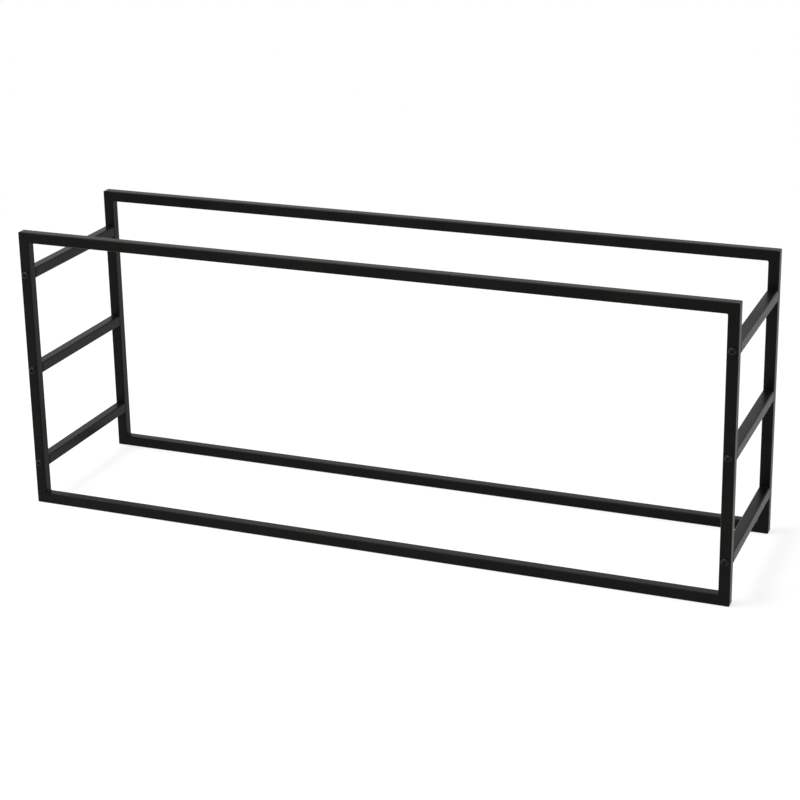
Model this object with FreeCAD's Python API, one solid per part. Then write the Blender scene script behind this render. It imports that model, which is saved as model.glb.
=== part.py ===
"""Firewood log rack: two welded frames of square steel tube, tied together by bolted crossbars.

A front and a rear frame stand upright and parallel. Each is four lengths of square tube, cut to
45 degrees at their ends and welded into a rectangle. Three square crossbars at each end tie the
frames together. A nylon plug with a threaded steel bush closes each end of a crossbar, and one
button head bolt, passed through the frame's post, screws into each bush. The split logs lie from
front to back across the two bottom rails.

Frame: +X along the length, +Y from the front to the back, +Z up. The origin is on the floor,
at the middle of the length and the depth. Millimetres.
"""

import FreeCAD
import Part
import math
import os

from FreeCAD import Rotation, Vector

# Overall sizes, over the tubes
LENGTH = 1000.0
DEPTH = 250.0
HEIGHT = 400.0

# Square steel tube, the same for the frames and the crossbars
TUBE = 15.0
TUBE_RADIUS = 2.0
WALL = 1.0

# Weld beads in the inner corners of the frames
WELD_LEG = 3.0

# Crossbars at each end: the middle one is at half the height
CROSSBAR_NAMES = ("lower", "middle", "upper")
CROSSBAR_PITCH = 139.0

# Button head socket screws, M6
BOLT_DIAMETER = 6.0
BOLT_GRIP = 13.0
BOLT_TIP_CHAMFER = 0.8
HOLE_CLEARANCE = 0.3
HEAD_DIAMETER = 10.5
HEAD_HEIGHT = 3.3
HEAD_RIM = 0.6
SOCKET_WIDTH = 4.0
SOCKET_DEPTH = 2.1
SOCKET_RIM = 0.5

# Nylon plug in each end of a crossbar, with its threaded bush
FLANGE = 2.0
PLUG_BODY = 18.0
PLUG_CLEARANCE = 0.05
RIB_HEIGHT = 0.6
RIB_WIDTH = 2.0
RIB_COUNT = 4
BUSH_WALL = 1.0
BUSH_CHAMFER = 0.4
BUSH_PAST_TIP = 1.0
BUSH_CLEARANCE = 0.05
THREAD_CLEARANCE = 0.05

# Sizes that follow
BORE = TUBE - 2 * WALL
BORE_RADIUS = max(TUBE_RADIUS - WALL, 0.2)
BOLT_RADIUS = BOLT_DIAMETER / 2
HOLE_RADIUS = BOLT_RADIUS + HOLE_CLEARANCE
BOLT_LENGTH = TUBE + FLANGE + BOLT_GRIP
SOCKET_CORNER = SOCKET_WIDTH / math.sqrt(3)
BUSH_BORE_RADIUS = BOLT_RADIUS + THREAD_CLEARANCE
BUSH_RADIUS = BUSH_BORE_RADIUS + BUSH_WALL
BUSH_LENGTH = BOLT_GRIP + BUSH_PAST_TIP
POST_X = (LENGTH - TUBE) / 2
FRAME_Y = (DEPTH - TUBE) / 2
CROSSBAR_LENGTH = DEPTH - 2 * (TUBE + FLANGE)
CROSSBAR_ROWS = [HEIGHT / 2 + step * CROSSBAR_PITCH for step in (-1, 0, 1)]

X_AXIS = Vector(1, 0, 0)
Y_AXIS = Vector(0, 1, 0)
Z_AXIS = Vector(0, 0, 1)

FRONT = -1
REAR = 1
LEFT = -1
RIGHT = 1
DEPTH_SIDES = {"front": FRONT, "rear": REAR}
LENGTH_SIDES = {"left": LEFT, "right": RIGHT}


def rounded_square(side, radius, length):
    """Solid bar of a square section with rounded corners, centred on Z, from z = 0 to length."""
    half = side / 2
    flat = half - radius
    middle = flat + radius * math.cos(math.pi / 4)
    edges = []
    for quarter in range(4):
        turn = Rotation(Z_AXIS, 90 * quarter)
        edges.append(
            Part.LineSegment(
                turn.multVec(Vector(half, -flat, 0)), turn.multVec(Vector(half, flat, 0))
            )
        )
        edges.append(
            Part.Arc(
                turn.multVec(Vector(half, flat, 0)),
                turn.multVec(Vector(middle, middle, 0)),
                turn.multVec(Vector(flat, half, 0)),
            )
        )
    outline = Part.Wire([edge.toShape() for edge in edges])
    return Part.Face(outline).extrude(Z_AXIS * length)


def square_tube(length):
    """Square tube on the Z axis, from z = 0 to length."""
    return rounded_square(TUBE, TUBE_RADIUS, length).cut(rounded_square(BORE, BORE_RADIUS, length))


def turned(shape, axis, degrees):
    """Copy of a shape, turned about an axis through the origin."""
    copy = shape.copy()
    copy.rotate(Vector(0, 0, 0), axis, degrees)
    return copy


def moved(shape, x=0.0, y=0.0, z=0.0):
    """Copy of a shape, moved."""
    copy = shape.copy()
    copy.translate(Vector(x, y, z))
    return copy


def prism(points, thickness):
    """Prism of an outline in the XZ plane, from y = -thickness / 2 to thickness / 2."""
    corners = [Vector(x, -thickness / 2, z) for x, z in points]
    return Part.Face(Part.makePolygon(corners + corners[:1])).extrude(Y_AXIS * thickness)


def mitred_tube(length):
    """Tube along X, centred on x = 0, with its outer side at z = 0 and both ends cut at 45 degrees."""
    tube = moved(turned(square_tube(length), Y_AXIS, 90), x=-length / 2, z=TUBE / 2)
    long_half = length / 2
    short_half = long_half - TUBE
    mitre = prism(
        [(-long_half, 0), (long_half, 0), (short_half, TUBE), (-short_half, TUBE)], 2 * TUBE
    )
    return tube.common(mitre)


def post(length_side):
    """Upright tube of a frame centred on y = 0, with the bolt holes through both its walls."""
    tube = turned(mitred_tube(HEIGHT), Y_AXIS, -90 * length_side)
    tube = moved(tube, x=length_side * LENGTH / 2, z=HEIGHT / 2)
    for row in CROSSBAR_ROWS:
        start = Vector(length_side * POST_X, -TUBE, row)
        tube = tube.cut(Part.makeCylinder(HOLE_RADIUS, 2 * TUBE, start, Y_AXIS))
    return tube


def weld_bead():
    """Bead in an inner corner, seen along Y: two legs on the tubes, along +X and +Z, and a hollow face."""
    half_width = TUBE / 2 - TUBE_RADIUS
    corner = Vector(0, -half_width, 0)
    on_rail = Vector(WELD_LEG, -half_width, 0)
    on_post = Vector(0, -half_width, WELD_LEG)
    sag = WELD_LEG * (1 - math.cos(math.pi / 4))
    face = Part.Arc(on_rail, Vector(sag, -half_width, sag), on_post)
    outline = Part.Wire(
        [
            Part.LineSegment(corner, on_rail).toShape(),
            face.toShape(),
            Part.LineSegment(on_post, corner).toShape(),
        ]
    )
    return Part.Face(outline).extrude(Y_AXIS * 2 * half_width)


def frame_welds():
    """The four beads of a frame centred on y = 0."""
    beads = []
    bead = moved(weld_bead(), x=-LENGTH / 2 + TUBE, z=-HEIGHT / 2 + TUBE)
    for lower in (bead, turned(bead, Z_AXIS, 180)):
        for placed in (lower, turned(lower, X_AXIS, 180)):
            beads.append(moved(placed, z=HEIGHT / 2))
    return Part.makeCompound(beads)


def frame_parts():
    """The pieces of one frame, centred on y = 0, by name."""
    bottom_rail = mitred_tube(LENGTH)
    return {
        "bottom_rail": bottom_rail,
        "top_rail": moved(turned(bottom_rail, Y_AXIS, 180), z=HEIGHT),
        "left_post": post(LEFT),
        "right_post": post(RIGHT),
        "corner_welds": frame_welds(),
    }


def plug():
    """Nylon plug on the Z axis: a flange from z = 0 to FLANGE, then a ribbed body inside the tube."""
    rib_side = BORE - 2 * PLUG_CLEARANCE
    body = rounded_square(rib_side - 2 * RIB_HEIGHT, BORE_RADIUS, PLUG_BODY)
    gap = (PLUG_BODY - RIB_COUNT * RIB_WIDTH) / (RIB_COUNT + 1)
    ribs = [
        moved(rounded_square(rib_side, BORE_RADIUS, RIB_WIDTH), z=gap + number * (gap + RIB_WIDTH))
        for number in range(RIB_COUNT)
    ]
    flange = rounded_square(TUBE, TUBE_RADIUS, FLANGE)
    solid = flange.fuse([moved(piece, z=FLANGE) for piece in [body] + ribs]).removeSplitter()
    bolt_hole = Part.makeCylinder(HOLE_RADIUS, FLANGE)
    pocket = Part.makeCylinder(BUSH_RADIUS + BUSH_CLEARANCE, PLUG_BODY, Vector(0, 0, FLANGE))
    return solid.cut(bolt_hole).cut(pocket)


def bush():
    """Threaded steel bush on the Z axis, seated on the back of the plug's flange."""
    profile = [
        (BUSH_BORE_RADIUS + BUSH_CHAMFER, 0),
        (BUSH_RADIUS, 0),
        (BUSH_RADIUS, BUSH_LENGTH),
        (BUSH_BORE_RADIUS + BUSH_CHAMFER, BUSH_LENGTH),
        (BUSH_BORE_RADIUS, BUSH_LENGTH - BUSH_CHAMFER),
        (BUSH_BORE_RADIUS, BUSH_CHAMFER),
    ]
    corners = [Vector(radius, 0, z) for radius, z in profile]
    section = Part.Face(Part.makePolygon(corners + corners[:1]))
    return moved(section.revolve(Vector(0, 0, 0), Z_AXIS, 360), z=FLANGE)


def head_dome(rim, top):
    """Edge of a head's domed side, from the flat top to the rim: an arc with its centre on the Z axis."""
    rise = HEAD_HEIGHT - HEAD_RIM
    centre = (HEAD_HEIGHT + HEAD_RIM) / 2 - (rim**2 - top**2) / (2 * rise)
    radius = math.hypot(rim, HEAD_RIM - centre)
    lower = math.atan2(HEAD_RIM - centre, rim)
    upper = math.atan2(HEAD_HEIGHT - centre, top)
    middle = (lower + upper) / 2
    return Part.Arc(
        Vector(top, 0, -HEAD_HEIGHT),
        Vector(radius * math.cos(middle), 0, -centre - radius * math.sin(middle)),
        Vector(rim, 0, -HEAD_RIM),
    ).toShape()


def bolt():
    """Button head screw on the Z axis: the head sits on z = 0 and reaches down, the shank points up."""
    rim = HEAD_DIAMETER / 2
    top = SOCKET_CORNER + SOCKET_RIM
    corners = [
        Vector(rim, 0, -HEAD_RIM),
        Vector(rim, 0, 0),
        Vector(BOLT_RADIUS, 0, 0),
        Vector(BOLT_RADIUS, 0, BOLT_LENGTH - BOLT_TIP_CHAMFER),
        Vector(BOLT_RADIUS - BOLT_TIP_CHAMFER, 0, BOLT_LENGTH),
        Vector(0, 0, BOLT_LENGTH),
        Vector(0, 0, -HEAD_HEIGHT),
        Vector(top, 0, -HEAD_HEIGHT),
    ]
    outline = Part.Wire(Part.makePolygon(corners).Edges + [head_dome(rim, top)])
    solid = Part.Face(outline).revolve(Vector(0, 0, 0), Z_AXIS, 360)
    hexagon = [
        Rotation(Z_AXIS, turn).multVec(X_AXIS * SOCKET_CORNER) for turn in range(0, 360, 60)
    ]
    socket = Part.Face(Part.makePolygon(hexagon + hexagon[:1])).extrude(Z_AXIS * SOCKET_DEPTH)
    return solid.cut(moved(socket, z=-HEAD_HEIGHT))


def inwards(shape, depth_side):
    """Turns a shape made on the Z axis so that its +Z points from a frame towards the rack's middle."""
    return turned(shape, X_AXIS, -90 if depth_side == FRONT else 90)


def crossbar():
    """Plain tube along Y, centred on the origin."""
    return moved(turned(square_tube(CROSSBAR_LENGTH), X_AXIS, -90), y=-CROSSBAR_LENGTH / 2)


def rack_parts():
    """Every sub-part of the rack in place, by node name."""
    parts = {}
    for depth_name, depth_side in DEPTH_SIDES.items():
        for name, shape in frame_parts().items():
            parts[f"{depth_name}_{name}"] = moved(shape, y=depth_side * FRAME_Y)
    for length_name, length_side in LENGTH_SIDES.items():
        x = length_side * POST_X
        for row_name, z in zip(CROSSBAR_NAMES, CROSSBAR_ROWS):
            bar = f"{length_name}_{row_name}_crossbar"
            parts[bar] = moved(crossbar(), x=x, z=z)
            for depth_name, depth_side in DEPTH_SIDES.items():
                seat = depth_side * (DEPTH / 2 - TUBE)
                for name, shape in (("plug", plug()), ("bush", bush())):
                    placed = moved(inwards(shape, depth_side), x=x, y=seat, z=z)
                    parts[f"{bar}_{depth_name}_{name}"] = placed
        for depth_name, depth_side in DEPTH_SIDES.items():
            placed = [
                moved(inwards(bolt(), depth_side), x=x, y=depth_side * DEPTH / 2, z=z)
                for z in CROSSBAR_ROWS
            ]
            parts[f"{depth_name}_{length_name}_bolts"] = Part.makeCompound(placed)
    return parts


def main():
    """Writes one STEP file per sub-part to parts/."""
    os.makedirs("parts", exist_ok=True)
    for name, shape in rack_parts().items():
        if not shape.isValid():
            raise ValueError(f"{name} is not a valid shape")
        shape.exportStep(f"parts/{name}.step")
        print(f"{name}: {len(shape.Solids)} solids, {sum(s.Volume for s in shape.Solids):.0f} mm3")


main()
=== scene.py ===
"""Looks of the firewood log rack: coated square tube frames, crossbars, screws and their studio.

Everything is in metres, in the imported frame: +X along the rack, +Y from front to back, +Z up, with
the origin on the floor at the middle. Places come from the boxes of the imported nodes.
"""

import logging
import math
import random
from contextlib import contextmanager
from dataclasses import dataclass, field
from enum import Enum
from typing import Callable, Iterator, Sequence

import bmesh
import bpy
from mathutils import Matrix, Vector


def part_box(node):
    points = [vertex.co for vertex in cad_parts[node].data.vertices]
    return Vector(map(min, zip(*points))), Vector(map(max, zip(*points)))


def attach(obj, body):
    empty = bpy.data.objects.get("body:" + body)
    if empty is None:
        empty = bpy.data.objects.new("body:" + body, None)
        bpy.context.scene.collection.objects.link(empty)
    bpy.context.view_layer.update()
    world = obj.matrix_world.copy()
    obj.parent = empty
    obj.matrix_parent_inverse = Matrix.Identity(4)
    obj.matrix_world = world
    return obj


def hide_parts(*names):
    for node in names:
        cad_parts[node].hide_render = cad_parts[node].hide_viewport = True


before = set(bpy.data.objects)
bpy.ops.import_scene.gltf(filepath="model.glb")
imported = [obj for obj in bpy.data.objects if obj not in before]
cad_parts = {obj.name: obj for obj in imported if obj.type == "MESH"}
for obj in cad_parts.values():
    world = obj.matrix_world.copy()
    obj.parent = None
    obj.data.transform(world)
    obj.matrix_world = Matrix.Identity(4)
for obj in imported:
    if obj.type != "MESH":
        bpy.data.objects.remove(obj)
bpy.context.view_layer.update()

logging.basicConfig(level=logging.INFO, format="%(name)s: %(message)s")
log = logging.getLogger("log_rack")

MM = 0.001
ROOT_BODY = "root"
Colour = tuple[float, float, float]


class Axis(Enum):
    """An axis of the rack, as the index of its coordinate."""

    X = 0
    Y = 1
    Z = 2

    def vector(self, sign: float = 1.0) -> Vector:
        """Unit vector along the axis, or against it."""
        return Vector([sign if index == self.value else 0.0 for index in range(3)])


class Depth(Enum):
    """Which of the two welded frames."""

    FRONT = "front"
    REAR = "rear"

    @property
    def sign(self) -> int:
        """Side of the rack's middle, along Y."""
        return -1 if self is Depth.FRONT else 1


class End(Enum):
    """Which end of the rack."""

    LEFT = "left"
    RIGHT = "right"

    @property
    def sign(self) -> int:
        """Side of the rack's middle, along X."""
        return -1 if self is End.LEFT else 1


class Row(Enum):
    """Height of a crossbar at its end of the rack."""

    LOWER = "lower"
    MIDDLE = "middle"
    UPPER = "upper"


class Slot(Enum):
    """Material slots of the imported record."""

    FRAME = "frame_coat"
    CROSSBAR = "crossbar_coat"
    WELD = "weld_coat"
    SCREW = "bolt_black"
    PLUG = "plug_nylon"
    BUSH = "bush_steel"


class Merge(Enum):
    """How two closed shapes make one."""

    CUT = "DIFFERENCE"
    KEEP_SHARED = "INTERSECT"
    FUSE = "UNION"


class Pick(Enum):
    """What edit mode selects."""

    VERTEX = "VERT"
    EDGE = "EDGE"
    FACE = "FACE"


# Modelling helpers -----------------------------------------------------------------------------


def activate(*pieces: bpy.types.Object) -> None:
    """Selects these pieces alone and makes the first one active.

    Args:
        pieces: the pieces that the next operator acts on.
    """
    bpy.ops.object.select_all(action="DESELECT")
    for piece in pieces:
        piece.select_set(True)
    bpy.context.view_layer.objects.active = pieces[0]


@contextmanager
def edit_mode(piece: bpy.types.Object) -> Iterator[None]:
    """Edit mode on one piece, with nothing in its mesh selected.

    Args:
        piece: the piece to edit.

    Returns:
        A context, in which the piece is under edit.
    """
    activate(piece)
    bpy.ops.object.mode_set(mode="EDIT")
    bpy.ops.mesh.select_all(action="DESELECT")
    yield
    bpy.ops.object.mode_set(mode="OBJECT")


def pick(piece: bpy.types.Object, kind: Pick, test: Callable[..., bool]) -> None:
    """Selects what passes a test, and nothing else, in the piece under edit.

    Args:
        piece: the piece under edit.
        kind: vertices, edges or faces.
        test: tells from a vertex, an edge or a face whether to select it.
    """
    bpy.ops.mesh.select_mode(type=kind.value)
    bpy.ops.mesh.select_all(action="DESELECT")
    mesh = bmesh.from_edit_mesh(piece.data)
    found = {Pick.VERTEX: mesh.verts, Pick.EDGE: mesh.edges, Pick.FACE: mesh.faces}[kind]
    for element in found:
        if test(element):
            element.select_set(True)
    mesh.select_flush_mode()
    bmesh.update_edit_mesh(piece.data)


def edge_run(edge: bmesh.types.BMEdge) -> Vector:
    """Unit vector along an edge."""
    return (edge.verts[1].co - edge.verts[0].co).normalized()


def middle(element: bmesh.types.BMEdge | bmesh.types.BMFace) -> Vector:
    """Mean place of the corners of an edge or a face."""
    return sum((corner.co for corner in element.verts), Vector()) / len(element.verts)


def settle(piece: bpy.types.Object, name: str) -> bpy.types.Object:
    """Names a fresh primitive and puts its place, turn and size into its mesh.

    Args:
        piece: the primitive.
        name: the name of the piece and its mesh.

    Returns:
        The same piece, with its object at the origin.
    """
    activate(piece)
    bpy.ops.object.transform_apply(location=True, rotation=True, scale=True)
    piece.name = name
    piece.data.name = name
    return piece


def block(name: str, low: Vector, high: Vector) -> bpy.types.Object:
    """Box between two corners.

    Args:
        name: the name of the piece.
        low: the lowest corner.
        high: the highest corner.

    Returns:
        The new piece.
    """
    bpy.ops.object.select_all(action="DESELECT")
    bpy.ops.mesh.primitive_cube_add(size=1, location=(low + high) / 2, scale=high - low)
    return settle(bpy.context.object, name)


def line(name: str, outline: Sequence[tuple[float, float]]) -> bpy.types.Object:
    """Run of edges in the plane of X and Z.

    Args:
        name: the name of the piece.
        outline: X and Z of each corner.

    Returns:
        The new piece.
    """
    bpy.ops.object.select_all(action="DESELECT")
    bpy.ops.mesh.primitive_plane_add(size=1)
    piece = settle(bpy.context.object, name)
    with edit_mode(piece):
        bpy.ops.mesh.select_all(action="SELECT")
        bpy.ops.mesh.merge(type="CENTER")
        bpy.ops.mesh.select_all(action="SELECT")
        bpy.ops.transform.translate(value=(outline[0][0], 0, outline[0][1]))
        for (x, z), (next_x, next_z) in zip(outline, outline[1:]):
            move = {"value": (next_x - x, 0, next_z - z)}
            bpy.ops.mesh.extrude_vertices_move(TRANSFORM_OT_translate=move)
    return piece


def lathe(name: str, outline: Sequence[tuple[float, float]], steps: int) -> bpy.types.Object:
    """Closed turned shape about Z.

    Args:
        name: the name of the piece.
        outline: radius and height of each corner, from the axis round to the axis, or all
            round a section that doesn't reach the axis.
        steps: number of faces round the turn.

    Returns:
        The new piece.
    """
    piece = line(name, outline)
    with edit_mode(piece):
        bpy.ops.mesh.select_all(action="SELECT")
        bpy.ops.mesh.spin(steps=steps, angle=math.tau, center=(0, 0, 0), axis=(0, 0, 1))
        weld_and_face_out()
    return piece


def weld_and_face_out() -> None:
    """Merges doubled corners of the piece under edit and turns its faces outwards."""
    bpy.ops.mesh.select_all(action="SELECT")
    bpy.ops.mesh.remove_doubles(threshold=0.002 * MM)
    bpy.ops.mesh.normals_make_consistent(inside=False)


def merge(piece: bpy.types.Object, other: bpy.types.Object, way: Merge) -> None:
    """Makes one closed shape of two, and removes the second.

    Args:
        piece: the piece that is kept.
        other: a closed shape.
        way: what is kept of the two.
    """
    activate(piece)
    boolean = piece.modifiers.new("merge", "BOOLEAN")
    boolean.operation = way.value
    boolean.solver = "EXACT"
    boolean.object = other
    bpy.ops.object.modifier_apply(modifier=boolean.name)
    bpy.data.objects.remove(other)


def join(name: str, pieces: Sequence[bpy.types.Object]) -> bpy.types.Object:
    """One piece out of several.

    Args:
        name: the name of the joined piece.
        pieces: what to join.

    Returns:
        The joined piece.
    """
    activate(*pieces)
    bpy.ops.object.join()
    return settle(bpy.context.object, name)


def copy_to(piece: bpy.types.Object, name: str, place: Matrix) -> bpy.types.Object:
    """Copy of a piece with a mesh of its own.

    Args:
        piece: the piece to copy, which stays as it is.
        name: the name of the copy.
        place: where the copy goes.

    Returns:
        The copy, with its object at the origin.
    """
    copy = piece.copy()
    copy.data = piece.data.copy()
    bpy.context.scene.collection.objects.link(copy)
    copy.matrix_world = place
    return settle(copy, name)


def shade(piece: bpy.types.Object, sharp_from: float = 35.0) -> None:
    """Smooths a piece's rounds and keeps its flats flat.

    Args:
        piece: the piece to finish.
        sharp_from: the turn between two faces, in degrees, from which their edge is sharp.
    """
    activate(piece)
    bpy.ops.object.shade_smooth_by_angle(angle=math.radians(sharp_from))
    weighted = piece.modifiers.new("flat faces", "WEIGHTED_NORMAL")
    weighted.keep_sharp = True
    bpy.ops.object.modifier_apply(modifier=weighted.name)


def install(
    piece: bpy.types.Object, node: str, material: bpy.types.Material
) -> bpy.types.Object:
    """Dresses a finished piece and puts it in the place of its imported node.

    Args:
        piece: the finished piece.
        node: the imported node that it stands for.
        material: the piece's finish.

    Returns:
        The same piece.
    """
    piece.data.materials.clear()
    piece.data.materials.append(material)
    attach(piece, ROOT_BODY)
    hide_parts(node)
    log.info("%s: %d faces, for %s", piece.name, len(piece.data.polygons), node)
    return piece


# Finishes --------------------------------------------------------------------------------------


class Nodes:
    """Node tree, with short calls for what the finishes and the studio share."""

    def __init__(self, tree: bpy.types.NodeTree) -> None:
        """Takes up a node tree."""
        self.tree = tree

    def coordinate(self, kind: str) -> bpy.types.NodeSocket:
        """Texture coordinate of a kind, such as Object or Normal."""
        return self.add("ShaderNodeTexCoord", {}).outputs[kind]

    def add(self, kind: str, inputs: dict[str | int, object], **settings: object) -> bpy.types.Node:
        """Adds a node.

        Args:
            kind: the node's type.
            inputs: a number, a colour or a socket for each of its inputs.
            settings: the node's own properties.

        Returns:
            The node.
        """
        node = self.tree.nodes.new(kind)
        for key, value in settings.items():
            setattr(node, key, value)
        for key, value in inputs.items():
            self.feed(node.inputs[key], value)
        return node

    def feed(self, socket: bpy.types.NodeSocket, value: object) -> None:
        """Sets an input, or links a socket to it.

        Args:
            socket: the input.
            value: a number, a colour or a socket.
        """
        if isinstance(value, bpy.types.NodeSocket):
            self.tree.links.new(value, socket)
        else:
            socket.default_value = value

    def calculate(self, kind: str, *values: object) -> bpy.types.NodeSocket:
        """Result of a Math node of a kind on numbers or sockets."""
        return self.add("ShaderNodeMath", dict(enumerate(values)), operation=kind).outputs[0]

    def spread(
        self, value: bpy.types.NodeSocket, start: float, end: float, low: float, high: float
    ) -> bpy.types.NodeSocket:
        """Smooth step from one number to another.

        Args:
            value: what is spread.
            start: the value at which the step starts.
            end: the value at which it ends.
            low: the result before the step.
            high: the result after it.

        Returns:
            The result.
        """
        names = ("Value", "From Min", "From Max", "To Min", "To Max")
        inputs = dict(zip(names, (value, start, end, low, high)))
        node = self.add("ShaderNodeMapRange", inputs, interpolation_type="SMOOTHSTEP")
        return node.outputs[0]


class Shader(Nodes):
    """Node tree of one finish, with a Principled surface."""

    PATTERN_RANGE = (0.3, 0.7)

    def __init__(self, name: str) -> None:
        """Starts a material with a Principled surface.

        Args:
            name: the material's name.
        """
        self.material = bpy.data.materials.new(name)
        self.material.use_nodes = True
        super().__init__(self.material.node_tree)

    def dress(self, inputs: dict[str, object]) -> bpy.types.Material:
        """Feeds the surface.

        Args:
            inputs: a number, a colour or a socket for each of its inputs.

        Returns:
            The finished material.
        """
        surface = self.tree.nodes["Principled BSDF"]
        for name, value in inputs.items():
            self.feed(surface.inputs[name], value)
        return self.material

    def noise(
        self, size: float, detail: float = 2.0, stretch: Vector | None = None
    ) -> bpy.types.NodeSocket:
        """Cloudy pattern on object coordinates.

        Args:
            size: the pattern's grain, in metres.
            detail: how many finer patterns lie on it.
            stretch: how much the grain is drawn out along each axis.

        Returns:
            The pattern, about 0.5 on average.
        """
        place = self.coordinate("Object")
        if stretch is not None:
            shrink = tuple(1 / factor for factor in stretch)
            place = self.add("ShaderNodeMapping", {"Vector": place, "Scale": shrink}).outputs[0]
        inputs = {"Vector": place, "Scale": 1 / size, "Detail": detail, "Roughness": 0.5}
        return self.add("ShaderNodeTexNoise", inputs).outputs["Fac"]

    def grade(self, pattern: bpy.types.NodeSocket, low: float, high: float) -> bpy.types.NodeSocket:
        """Spreads a cloudy pattern over a range of numbers, from its dark parts to its bright ones."""
        return self.spread(pattern, *self.PATTERN_RANGE, low, high)

    def blend(self, factor: object, first: object, second: object) -> bpy.types.NodeSocket:
        """Mix of two colours.

        Args:
            factor: how much of the second colour there is.
            first: a colour or a socket.
            second: a colour or a socket.

        Returns:
            The mixed colour.
        """
        node = self.add("ShaderNodeMix", {}, data_type="RGBA")
        for key, value in zip((0, 6, 7), (factor, first, second)):
            self.feed(node.inputs[key], (*value, 1.0) if isinstance(value, tuple) else value)
        return node.outputs[2]

    def edges(self) -> bpy.types.NodeSocket:
        """How far the surface of an upright, square piece leans away from its flats.

        Returns:
            0 on the flats and 1 at the middle of a round.
        """
        parts = self.add("ShaderNodeSeparateXYZ", {0: self.coordinate("Normal")}).outputs
        leans = [self.calculate("ABSOLUTE", part) for part in parts]
        flatness = self.calculate("MAXIMUM", self.calculate("MAXIMUM", leans[0], leans[1]), leans[2])
        return self.spread(flatness, 1.0, math.cos(math.pi / 4), 0.0, 1.0)

    def bump(self, layers: Sequence[tuple[bpy.types.NodeSocket, float]]) -> bpy.types.NodeSocket:
        """Relief of several heights, each on top of the one before.

        Args:
            layers: for each, a height from 0 to 1 and its depth in metres.

        Returns:
            The normal.
        """
        normal = None
        for height, depth in layers:
            inputs = {"Height": height, "Distance": depth, "Strength": 1.0}
            if normal is not None:
                inputs["Normal"] = normal
            normal = self.add("ShaderNodeBump", inputs).outputs["Normal"]
        return normal


@dataclass(frozen=True)
class PowderCoat:
    """Fine-textured matt black powder coat, baked on steel.

    Attributes:
        name: the material's name.
        colour: the coat's main colour.
        pale: the colour of its cloudy patches and of its rounds, where the paler colour is partly a
            thinner cover and partly a painted highlight.
        roughness: the lowest and the highest roughness.
        gloss: the shader's specular level.
        tint: the colour of its reflections.
        cloud: the size of its cloudy patches, in metres.
        cloudiness: how strongly they show, from 0 to 1.
        thin_cover_and_highlight: how strongly the rounds pale, at the least and at the most; the paling
            is partly a thinner coat and partly a painted highlight along the rounded edges.
        grain: the size of the coat's texture.
        relief: the depth of that texture.
        dressed_seams: whether the mitres show as welds that were ground flush under the coat.
        seam_band: how far from the mitre a dressed seam starts to fade and is gone.
        seam_wander: how far its edges wander.
        seam_grain: the size of their waves.
        seam_height: how high the seam stands.
        seam_polish: how much less rough it is.
    """

    name: str
    colour: Colour = (0.0026, 0.0026, 0.0024)
    pale: Colour = (0.0065, 0.0065, 0.0060)
    roughness: tuple[float, float] = (0.31, 0.42)
    gloss: float = 0.095
    tint: Colour = (1.0, 0.995, 0.93)
    cloud: float = 55.0 * MM
    cloudiness: float = 0.55
    thin_cover_and_highlight: tuple[float, float] = (0.15, 0.6)
    grain: float = 0.9 * MM
    relief: float = 0.03 * MM
    dressed_seams: bool = False
    seam_band: tuple[float, float] = (1.2 * MM, 3.4 * MM)
    seam_wander: float = 1.6 * MM
    seam_grain: float = 4.0 * MM
    seam_height: float = 0.12 * MM
    seam_polish: float = 0.05

    def material(self) -> bpy.types.Material:
        """Builds the material.

        Returns:
            The material.
        """
        shader = Shader(self.name)
        clouds = shader.noise(self.cloud, 3.0)
        peel = shader.noise(self.grain, 1.0)
        dust = shader.noise(self.grain / 3, 1.0)
        patches = shader.spread(clouds, 0.35, 0.7, 0.0, self.cloudiness)
        # Paler rounds: partly the coat's thinner cover on its edges, partly a painted highlight along
        # every rounded edge.
        paler = shader.calculate("MULTIPLY", shader.edges(), shader.grade(dust, *self.thin_cover_and_highlight))
        cover = shader.calculate("MAXIMUM", patches, paler)
        rough = shader.grade(dust, *self.roughness)
        layers = [(peel, self.relief), (dust, self.relief / 3)]
        if self.dressed_seams:
            seam = self.seam(shader)
            layers.insert(0, (seam, self.seam_height))
            polish = shader.calculate("MULTIPLY", seam, self.seam_polish)
            rough = shader.calculate("SUBTRACT", rough, polish)
        return shader.dress(
            {
                "Base Color": shader.blend(cover, self.colour, self.pale),
                "Roughness": rough,
                "Normal": shader.bump(layers),
                "Specular IOR Level": self.gloss,
                "Specular Tint": (*self.tint, 1.0),
            }
        )

    def seam(self, shader: Shader) -> bpy.types.NodeSocket:
        """Band along each mitre where the weld was ground down, with uneven edges.

        Args:
            shader: the material's node tree.

        Returns:
            1 on the band and 0 away from it.
        """
        low, high = frame_box()
        parts = shader.add("ShaderNodeSeparateXYZ", {0: shader.coordinate("Object")}).outputs
        from_end = shader.calculate("SUBTRACT", high.x, shader.calculate("ABSOLUTE", parts[0]))
        middle_height = (low.z + high.z) / 2
        off_middle = shader.calculate("ABSOLUTE", shader.calculate("SUBTRACT", parts[2], middle_height))
        from_rail = shader.calculate("SUBTRACT", middle_height, off_middle)
        away = shader.calculate("ABSOLUTE", shader.calculate("SUBTRACT", from_end, from_rail))
        wander = shader.calculate("MULTIPLY", shader.noise(self.seam_grain), self.seam_wander)
        return shader.spread(shader.calculate("ADD", away, wander), *self.seam_band, 1.0, 0.0)


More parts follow.
